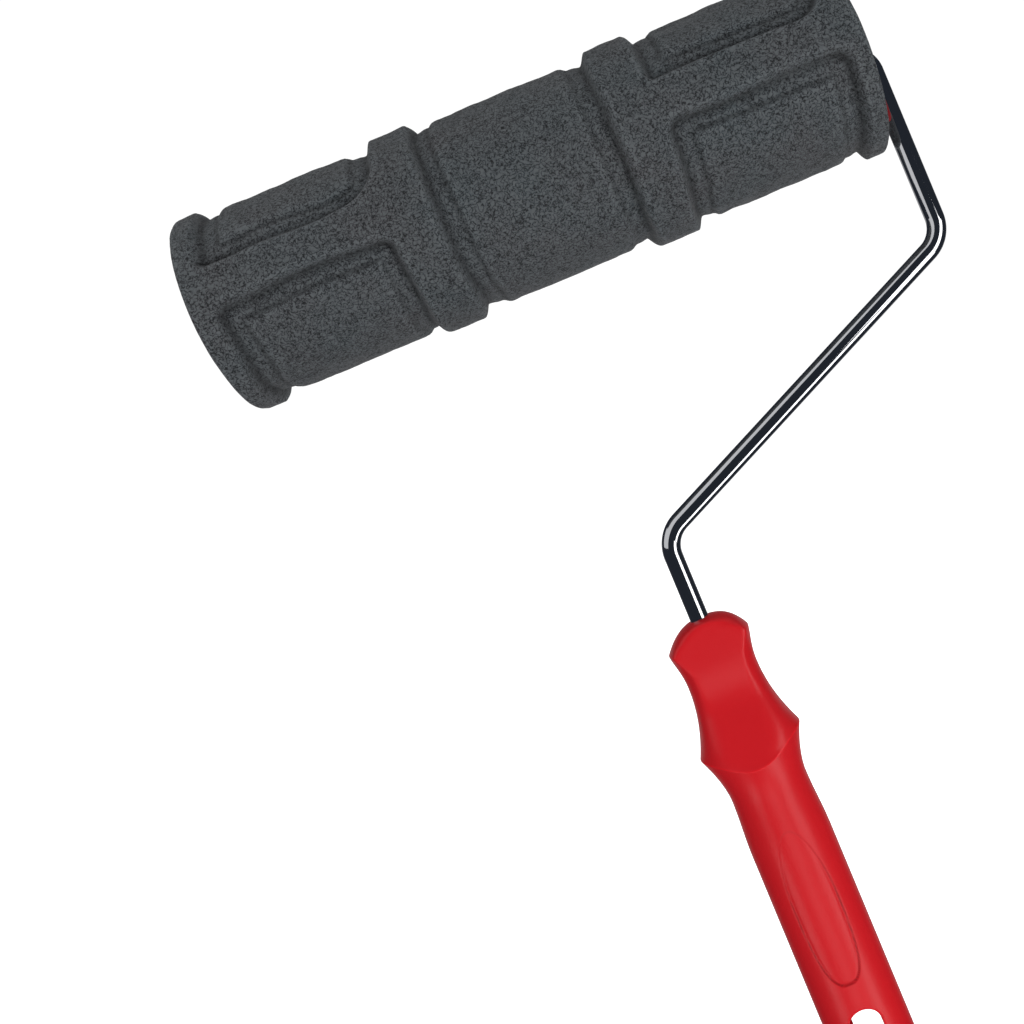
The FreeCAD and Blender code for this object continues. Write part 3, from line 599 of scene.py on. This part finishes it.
def neck_radius(drop, theta, scale):
    """The neck: an ellipse that narrows by a cosine and flares as a parabola, cut by the two scoops.

    scale shrinks the ellipse inside the dome. The ellipse is as deep as it must be for the scoop's flat to
    take a share of its width, which is greatest at the crown, least at the neck and a little more above the
    lip. The cut is the power mean r (1 + (r / floor)^n)^(-1 / n), crispest just under the crown and softer
    above and below. Right at the crest it blends into the collar's own ellipse.
    """
    flare = np.clip((drop - NECK_DROP) / (crest_drop(theta) - NECK_DROP), 0, 1)
    taper = 1 - ease(np.clip((drop - CROWN_DROP) / (NECK_DROP - CROWN_DROP), 0, 1) ** 0.75)
    half = NECK_HALF + (CROWN_HALF - NECK_HALF) * taper + (COLLAR_HALF - NECK_HALF) * flare ** 2
    share = 0.70 + 0.20 * (1 - smoothstep(5.0, 13.0, drop)) + 0.05 * smoothstep(16.0, 30.0, drop)
    level = scoop_floor(drop)
    deep = level / np.sqrt(1 - share ** 2)
    full = scale * ellipse_radius(theta, half, deep + (COLLAR_HALF_DEPTH - deep) * flare ** 3)
    floor = level / np.maximum(np.abs(np.sin(theta)), 0.05)
    crisp = 10 + 40 * smoothstep(2.5, 8.0, drop) * (1 - smoothstep(10.0, 24.0, drop))
    cut = full * (1 + (full / floor) ** crisp) ** (-1 / crisp)
    return cut + (ellipse_radius(theta, half, COLLAR_HALF_DEPTH) - cut) * flare ** 18


def grip_radius(drop, theta):
    """Below the crest: a flare that falls off as a power, the waist, the palm swell and the straight grip."""
    crest = crest_drop(theta)
    rim = neck_radius(crest, theta, 1.0)
    swell = ease((drop - WAIST_DROP) / (PALM_DROP - WAIST_DROP))
    half = WAIST_HALF + (GRIP_HALF - WAIST_HALF) * swell
    deep = WAIST_HALF_DEPTH + (GRIP_HALF_DEPTH - WAIST_HALF_DEPTH) * swell
    base = ellipse_radius(theta, half, deep)
    left = np.clip(1 - (drop - crest) / (WAIST_DROP - crest), 0, 1)
    return base + (rim - base) * left ** 1.7


def oval_inside(drop, across):
    """About how far a point lies inside the oval's outline, in millimetres: (1 - q) over the slope of q.

    q is the norm (|u|^n + |v|^n)^(1/n). n grows from 2 to 2.8 downwards, which makes the lower end blunter.
    """
    u, v = np.abs(across) / OVAL_HALF, (drop - OVAL_DROP) / OVAL_HALF_LENGTH
    n = 2 + 0.8 * smoothstep(-0.2, 0.8, v)
    v = np.abs(v)
    q = np.maximum((u ** n + v ** n) ** (1 / n), 1e-6)
    slope = np.hypot(u ** (n - 1) / OVAL_HALF, v ** (n - 1) / OVAL_HALF_LENGTH) * q ** (1 - n)
    return (1 - q) / np.maximum(slope, 1e-6)


def oval_sink(drop, across):
    """Depth of the shallow oval on the grip: a step with a fine groove along it, fading towards its top."""
    inside = oval_inside(drop, across)
    step = OVAL_STEP * smoothstep(0, 0.35, inside) + OVAL_GROOVE * np.exp(-(((inside - 0.35) / 0.25) ** 2))
    return step * (0.15 + 0.85 * smoothstep(58.0, 84.0, drop))


def painted_oval_shade_and_crest_highlight(x, y, z):
    """Painted shade as a fine dark band round the oval's groove, up to 1, and a painted highlight along the
    collar's crest, down to -0.33.

    Each is a bell curve 0.22 mm wide across its path.
    """
    drop = HANDLE_LENGTH - z
    oval = np.exp(-(((oval_inside(drop, x) - 0.18) / 0.22) ** 2)) * (np.abs(y) > 0.5 * GRIP_HALF_DEPTH)
    crest = np.exp(-(((drop - crest_drop(np.arctan2(y, x))) / 0.22) ** 2))
    return oval * (0.2 + 0.8 * smoothstep(60.0, 82.0, drop)) - 0.33 * crest


def handle_rings(theta):
    """Radius and drop of the handle's skin in rings, from the middle of its dome to its socket's floor."""
    crest = crest_drop(theta)[None, :]
    # The dome: its drop is a power of each ring's scale, and a higher one, so blunter, towards the arm.
    scale = np.concatenate([[0.245], np.linspace(0.27, 1.0, 26)])[:, None]
    drop = CROWN_DROP * scale ** (2.9 + 0.5 * np.cos(theta))
    rings = [(neck_radius(drop, theta, scale), drop)]
    # The neck, down to the crest, whose edge is very slightly broken.
    share = np.concatenate([np.linspace(0.02, 0.97, 84), [0.985, 0.995]])[:, None]
    drop = CROWN_DROP + (crest - CROWN_DROP) * share
    rings.append((neck_radius(drop, theta, 1.0), drop))
    rings.append((neck_radius(crest, theta, 1.0) - 0.05, crest))
    # The flare below the crest, then the grip, with its rings closest together along the oval.
    share = np.concatenate([[0.012, 0.035], np.linspace(0.07, 1.0, 30)])[:, None]
    drop = crest + (WAIST_DROP - crest) * share
    rings.append((grip_radius(drop, theta), drop))
    drop = np.concatenate([np.linspace(WAIST_DROP + 0.6, OVAL_END, 130),
                           np.linspace(OVAL_END + 1.0, HANDLE_LENGTH - END_ROUND, 34)])[:, None]
    skin = grip_radius(drop, theta)
    rings.append((skin - oval_sink(drop, skin * np.cos(theta)), drop))
    # The lower end: a quarter circle outside, a smaller one into the socket, and the socket's wall and floor.
    a = np.linspace(0, math.pi / 2, 7)[1:, None]
    skin = ellipse_radius(theta, GRIP_HALF, GRIP_HALF_DEPTH)
    rings.append((skin - END_ROUND * (1 - np.cos(a)), HANDLE_LENGTH - END_ROUND * (1 - np.sin(a))))
    a = np.linspace(0, math.pi / 2, 5)[:, None]
    rings.append((SOCKET_RADIUS + SOCKET_LIP * (1 - np.sin(a)), HANDLE_LENGTH - SOCKET_LIP * (1 - np.cos(a))))
    rings.append((SOCKET_RADIUS, HANDLE_LENGTH - np.linspace(2.0, SOCKET_DEPTH - SOCKET_CHAMFER, 18)[:, None]))
    rings.append((SOCKET_RADIUS - SOCKET_CHAMFER, np.array([[HANDLE_LENGTH - SOCKET_DEPTH]])))
    radius, drop = zip(*[np.broadcast_arrays(*ring, theta)[:2] for ring in rings])
    return np.concatenate(radius), np.concatenate(drop)


def slot_cutter():
    """The hanging slot as a solid: a stadium through the handle, flared by a quarter circle at the skin.

    The skin is the grip's ellipse. The front half is the back half with its rows and its sides turned over.
    """
    turn = around(96)
    dx, dz = np.cos(turn), np.sin(turn)
    straight = (SLOT_HIGH - SLOT_LOW) / 2 - SLOT_HALF
    a = np.linspace(0, math.pi / 2, 7)[:, None]
    out = SLOT_LIP * (1 - np.cos(a))
    x = SLOT_HALF * dx + out * dx
    z = (SLOT_LOW + SLOT_HIGH) / 2 + SLOT_HALF * dz + straight * np.sign(np.round(dz, 6)) + out * dz
    y = GRIP_HALF_DEPTH * np.sqrt(1 - np.clip(x / GRIP_HALF, -0.95, 0.95) ** 2) - SLOT_LIP * (1 - np.sin(a))
    # The last row stands just proud of the skin, and one more runs clear of the handle.
    y[-1] += 0.02
    back = np.stack([x, y, z], -1)
    clear = back[-1:].copy()
    clear[..., 1] = GRIP_HALF_DEPTH + 4
    back = np.concatenate([back, clear])
    return closed_grid(np.concatenate([back[::-1] * np.array([1, -1, 1]), back]))


def moulded_handle():
    """The handle: a skin of rings, with columns crowded at front and back, cut by the hanging slot."""
    front, back = -math.pi / 2, math.pi / 2
    half_turn = crowded(front, back, 113, [front, back], reach=0.62, extra=1.6)[:-1]
    theta = np.concatenate([half_turn, half_turn + math.pi])
    radius, drop = handle_rings(theta)
    points = np.stack([radius * np.cos(theta), radius * np.sin(theta), HANDLE_LENGTH - drop], -1)
    made = piece("moulded_handle", closed_grid(points), "frame", HANDLE_RED, "handle")
    cutter = placed("slot_cutter", new_mesh("slot_cutter", slot_cutter()))
    cut = made.modifiers.new("slot", "BOOLEAN")
    cut.operation = "DIFFERENCE"
    cut.solver = "EXACT"
    cut.object = cutter
    seen = made.evaluated_get(bpy.context.evaluated_depsgraph_get())
    finished = bpy.data.meshes.new_from_object(seen)
    made.modifiers.clear()
    made.data = finished
    finished.polygons.foreach_set("use_smooth", np.ones(len(finished.polygons), bool))
    bpy.data.objects.remove(cutter)
    place = np.empty(len(finished.vertices) * 3)
    finished.vertices.foreach_get("co", place)
    # Painted shade round the oval's groove and a painted highlight along the collar's crest.
    paint(finished, "painted_shade_and_highlight", painted_oval_shade_and_crest_highlight(*(place.reshape(-1, 3) / MM).T))


# ------------------------------------------------------------------ rod, cage and bearings

ARM_X = ROD_HIGH[0] - ROD_RADIUS
# How far below the axle the rod's corners are, and the radii of its bends.
ELBOW_DROP, CROOK_DROP = 53.9, 99.5
AXLE_BEND, ELBOW_BEND = 6.5, 9.0
CAGE_WIRES = 5
WIRE_STEP = 360 / CAGE_WIRES
WIRE_RADIUS, WIRE_BOW, WIRE_SEAT = 0.9, 0.7, 5.8
CAP_WALL = 3.0
WEB_INSET, WEB_THICK, CAP_DEPTH = 9.0, 3.0, 16.0
FIN_THICK = 1.6
FLANGE_THICK = 1.0
MOULD_ROUND = 0.35
COVER_THICK, COVER_DEPTH = 1.5, 3.0
# The shallow ring in the cover's face: the radii of its floor's two edges and of its outer edge, and its depth.
RING_LOW, RING_HIGH, RING_OUT, RING_DEPTH = 5.6, 9.4, 10.2, 0.45
WIRE_RING = CAP_RADIUS - CAP_WALL / 2
# The gaps of a bush that runs on the rod, of a part pressed into another and of the cover that snaps in.
RUNNING_GAP, PRESS_GAP, SNAP_GAP = 0.06, 0.02, 0.1
BUSH_WALL, HUB_WALL = 1.7, 2.4
BUSH_FLANGE, BUSH_FLANGE_THICK = 1.5, 1.0
BUSH_BORE = ROD_RADIUS + RUNNING_GAP
BUSH_OUTER = BUSH_BORE + BUSH_WALL
HUB_BORE = BUSH_OUTER + PRESS_GAP
HUB_OUTER = HUB_BORE + HUB_WALL


def chrome_rod():
    """The bent rod: a circle carried along axle, arm, slanted run and tang, with tangent arcs between them."""
    corners = [(ROD_LOW[0], 0, AXLE_Z), (ARM_X, 0, AXLE_Z), (ARM_X, 0, AXLE_Z - ELBOW_DROP),
               (0, 0, AXLE_Z - CROOK_DROP), (0, 0, ROD_LOW[2])]
    path = bent_path(corners, [AXLE_BEND, ELBOW_BEND, ELBOW_BEND])
    solid = tube_along(path, ROD_RADIUS, (0, 1, 0), 72)
    piece("chrome_rod", solid, "frame", CHROME, "frame_rod")


def fins(start, end, low, high):
    """Radial fins from a cap's hub to its skirt, half way between the wires: slabs with rounded edges."""
    half = FIN_THICK / 2
    outline = rounded_outline([(start, -half), (end, -half), (end, half), (start, half)], MOULD_ROUND, 4)
    slabs = []
    for k in range(CAGE_WIRES):
        phi = math.radians(90 + (k - 1.5) * WIRE_STEP)
        radial = np.array([0, -math.cos(phi), math.sin(phi)])
        across = np.array([0, math.sin(phi), math.cos(phi)])
        along = np.array([SLEEVE_X, 0, AXLE_Z]) + outline[:, :1] * np.array([1, 0, 0])
        base = along + outline[:, 1:] * across
        slabs.append(closed_grid(np.stack([base + radial * low, base + radial * high])))
    return joined(*slabs)


def end_caps():
    """The two moulded caps and the snap-in cover, each turned from its outline, with fins added to the caps.

    The cap on the arm's side has the sleeve's stop flange. The other one has a chamfered nose.
    """
    inner = CAP_RADIUS - CAP_WALL
    web, back = HALF_SLEEVE - WEB_INSET, HALF_SLEEVE - WEB_INSET - WEB_THICK
    tail, face = HALF_SLEEVE - CAP_DEPTH, CAP_HIGH[0] - SLEEVE_X
    stop = face - FLANGE_THICK
    fin_low, fin_high, fin_tail = HUB_OUTER - 0.6, inner + 0.6, tail + 0.2
    dish = [(tail, HUB_BORE), (web, HUB_BORE), (web, inner), (face, inner), (face, FLANGE_RADIUS),
            (stop, FLANGE_RADIUS), (stop, CAP_RADIUS), (tail, CAP_RADIUS), (tail, inner), (back, inner),
            (back, HUB_OUTER), (tail, HUB_OUTER)]
    solid = joined(lathe(dish, MOULD_ROUND), fins(fin_tail, back, fin_low, fin_high))
    piece("arm_cap", solid, "cage", CAP_RED, "arm_end_cap")
    nose, chamfer = FREE_LOW[0] - SLEEVE_X, 1.5
    plug = [(-web, HUB_BORE), (-tail, HUB_BORE), (-tail, HUB_OUTER), (-back, HUB_OUTER), (-back, inner),
            (-tail, inner), (-tail, CAP_RADIUS), (nose + chamfer, CAP_RADIUS), (nose, CAP_RADIUS - chamfer),
            (nose, inner), (-web, inner)]
    solid = joined(lathe(plug, MOULD_ROUND), fins(-back, -fin_tail, fin_low, fin_high))
    piece("free_cap", solid, "cage", CAP_RED, "free_end_cap")
    rim, dip, rear = inner - SNAP_GAP, nose + RING_DEPTH, nose + COVER_DEPTH
    cover = [(nose, 0), (dip, RING_LOW), (dip, RING_HIGH), (nose, RING_OUT), (nose, rim), (rear, rim),
             (rear, rim - COVER_THICK), (nose + COVER_THICK, rim - COVER_THICK), (nose + COVER_THICK, 0)]
    piece("snap_cover", disc(cover), "cage", CAP_RED, "end_cover")


def bearings():
    """Bushes with their flanges outwards, washers and the stop collar, each turned from its outline."""
    for name, node_name, sign in (("arm_side_bush", "arm_bush", 1), ("free_side_bush", "free_bush", -1)):
        low, high = box_mm(node_name)
        start, end = sorted((sign * (low[0] - SLEEVE_X), sign * (high[0] - SLEEVE_X)))
        flange, rim = end - BUSH_FLANGE_THICK, BUSH_OUTER + BUSH_FLANGE
        outline = [(start, BUSH_BORE), (end, BUSH_BORE), (end, rim), (flange, rim), (flange, BUSH_OUTER),
                   (start, BUSH_OUTER)]
        solid = lathe([(sign * x, r) for x, r in outline], radius=0.2, segments=96)
        piece(name, solid, "cage", NYLON, node_name)
    for name, node_name, bore in (("arm_side_washer", "arm_washer", BUSH_BORE),
                                  ("free_side_washer", "free_washer", BUSH_BORE),
                                  ("crimped_collar", "stop_collar", ROD_RADIUS + PRESS_GAP)):
        low, high = box_mm(node_name)
        start, end, rim = low[0] - SLEEVE_X, high[0] - SLEEVE_X, (high[2] - low[2]) / 2
        solid = lathe([(start, bore), (end, bore), (end, rim), (start, rim)], radius=0.15, segments=96)
        piece(name, solid, "frame", ZINC, node_name)


def cage_wires():
    """The five spring wires: each a circular arc, ring + bow - (R - sqrt(R^2 - x^2)), from cap to cap."""
    reach = HALF_SLEEVE - CAP_DEPTH + WIRE_SEAT
    bend = reach ** 2 / (2 * WIRE_BOW) + WIRE_BOW / 2
    x = np.linspace(-reach, reach, 81)
    height = WIRE_RING + WIRE_BOW - (bend - np.sqrt(bend ** 2 - x ** 2))
    for k in range(CAGE_WIRES):
        phi = math.radians(90 - k * WIRE_STEP)
        solid = tube_along(on_axle(x, height, phi), WIRE_RADIUS, (0, math.sin(phi), math.cos(phi)), 28)
        piece(f"spring_wire_{k + 1}", solid, "cage", SPRING_STEEL, f"cage_wire_{k + 1}")


def sleeve_tube():
    """The thin extruded tube inside the foam: its wall's outline turned about the axle."""
    start, end = TUBE_LOW[0] - SLEEVE_X, TUBE_HIGH[0] - SLEEVE_X
    bore = TUBE_OUTER - TUBE_WALL
    solid = lathe([(start, bore), (end, bore), (end, TUBE_OUTER), (start, TUBE_OUTER)], 0.3, 160)
    piece("extruded_tube", solid, "sleeve", TUBE_WHITE, "core_tube")


foam_sleeve()
moulded_handle()
chrome_rod()
end_caps()
bearings()
cage_wires()
sleeve_tube()
# The push nut's own solid has the right shape and only gets a finish.
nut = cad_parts["push_nut"]
nut.data.materials.clear()
nut.data.materials.append(SPRING_STEEL)

# ------------------------------------------------------------------ stage, light and camera

# What mirrors see: a dark room with a pale wall low down behind the tool.
ROOM_DARK = (0.020, 0.024, 0.032, 1)
ROOM_WALL = (0.40, 0.40, 0.41, 1)
CAMERA_AT = Vector((0.01442, -0.3278, 0.20269))
ROLL = math.radians(22.6)
CAMERA_RIGHT = Vector((math.cos(ROLL), 0, -math.sin(ROLL)))
CAMERA_UP = Vector((math.sin(ROLL), 0, math.cos(ROLL)))
CAMERA_BACK = Vector((0, -1, 0))
SENSOR_WIDTH, FOCAL_LENGTH = 36.0, 43.23
SHIFT_X, SHIFT_Y = -0.1463, -0.122
SUBJECT = Vector((0.02, 0, 0.17))


def floor():
    """A plain white floor under the handle's end, which only the eye sees."""
    bpy.ops.mesh.primitive_plane_add(size=14, location=(0, 0, -0.0005))
    made = bpy.context.object
    made.name = "floor"
    material, tree, out = new_material("white_paper_sweep")
    shader = node(tree, "BsdfPrincipled", {"Base Color": colour("#F4F4F3"), "Roughness": 0.9,
                                           "Emission Color": (1, 1, 1, 1), "Emission Strength": 1.1})
    tree.links.new(shader.outputs[0], out.inputs[0])
    made.data.materials.append(material)
    made.visible_glossy = False
    made.visible_diffuse = False
    made.visible_shadow = False


def studio_world():
    """A white backdrop for the eye, and a dark room for everything else.

    What a mirror sees straight behind the tool and low down is a pale wall, which lines the chrome's rims.
    """
    world = bpy.data.worlds.new("studio")
    bpy.context.scene.world = world
    world.use_nodes = True
    tree = world.node_tree
    tree.nodes.clear()
    out = node(tree, "OutputWorld")
    rays = node(tree, "LightPath")
    heading = node(tree, "SeparateXYZ", {"Vector": node(tree, "TexCoord").outputs["Generated"]})
    behind = node(tree, "MapRange", {"Value": heading.outputs["Y"], "From Min": 0.66, "From Max": 0.86})
    low = node(tree, "MapRange", {"Value": heading.outputs["Z"], "From Min": 0.24, "From Max": 0.06})
    wall = node(tree, "Math", {0: behind.outputs[0], 1: low.outputs[0]}, operation="MULTIPLY")
    mirrored = node(tree, "Mix", {0: wall.outputs[0], 6: ROOM_DARK, 7: ROOM_WALL}, data_type="RGBA")
    lit = node(tree, "Background", {"Color": mirrored.outputs[2], "Strength": 1.0})
    white = node(tree, "Background", {"Color": (1, 1, 1, 1), "Strength": 1.05})
    mixed = node(tree, "MixShader", {0: rays.outputs["Is Camera Ray"], 1: lit.outputs[0],
                                     2: white.outputs[0]})
    tree.links.new(mixed.outputs[0], out.inputs[0])


def camera():
    """A level camera square to the tool, rolled so that the tool leans in the picture."""
    data = bpy.data.cameras.new("camera")
    data.sensor_width = SENSOR_WIDTH
    data.lens = FOCAL_LENGTH
    data.shift_x = SHIFT_X
    data.shift_y = SHIFT_Y
    data.clip_start = 0.01
    data.clip_end = 50
    made = placed("camera", data)
    axes = Matrix((CAMERA_RIGHT, CAMERA_UP, CAMERA_BACK)).transposed()
    made.matrix_world = Matrix.Translation(CAMERA_AT) @ axes.to_4x4()
    bpy.context.scene.camera = made


def softbox(name, right, up, towards, size, brightness, mirrored=True):
    """An area light that faces the subject, placed from it as the camera sees right, up and towards itself.

    Sizes are in metres. brightness is what its face shows in a mirror, where 1 is white. One that isn't
    mirrored lights surfaces without showing in them.
    """
    data = bpy.data.lights.new(name, "AREA")
    data.shape = "RECTANGLE"
    data.size, data.size_y = size
    data.energy = brightness * math.pi * size[0] * size[1]
    made = placed(name, data)
    place = SUBJECT + CAMERA_RIGHT * right + CAMERA_UP * up + CAMERA_BACK * towards
    back = (place - SUBJECT).normalized()
    level = CAMERA_RIGHT if abs(back @ CAMERA_UP) > 0.99 else CAMERA_UP
    side = level.cross(back).normalized()
    axes = Matrix((side, back.cross(side), back)).transposed()
    made.matrix_world = Matrix.Translation(place) @ axes.to_4x4()
    made.visible_glossy = mirrored


floor()
studio_world()
camera()
softbox("front_key", 0.22, -0.52, 1.2, (0.7, 0.7), 5.4, mirrored=False)
# Six wide panels stand round the tool for an even light with no reflection.
PANEL = (2.0, 2.0)
softbox("fill_left", -1.0, 0, 0, PANEL, 0.30, mirrored=False)
softbox("fill_right", 1.0, 0, 0, PANEL, 0.30, mirrored=False)
softbox("fill_above", 0, 1.0, 0, PANEL, 0.90, mirrored=False)
softbox("fill_below", 0, -1.0, 0, PANEL, 0.30, mirrored=False)
softbox("fill_front", 0, 0, 1.3, PANEL, 0.24, mirrored=False)
softbox("fill_behind", 0, 0, -1.2, PANEL, 0.80, mirrored=False)
# Four white cards make the bands along the chrome and the sheen on the handle.
softbox("upper_left_card", -0.45, 0.20, 0.20, (0.66, 0.76), 0.65)
softbox("lower_left_card", -0.31, -0.56, 0.42, (0.25, 0.26), 2.3)
softbox("upper_right_card", 0.43, 0.04, 0.42, (0.30, 0.36), 2.4)
softbox("lower_right_card", 0.38, -0.32, 0.24, (0.20, 0.44), 2.4)
bpy.context.scene.view_settings.view_transform = "Standard"
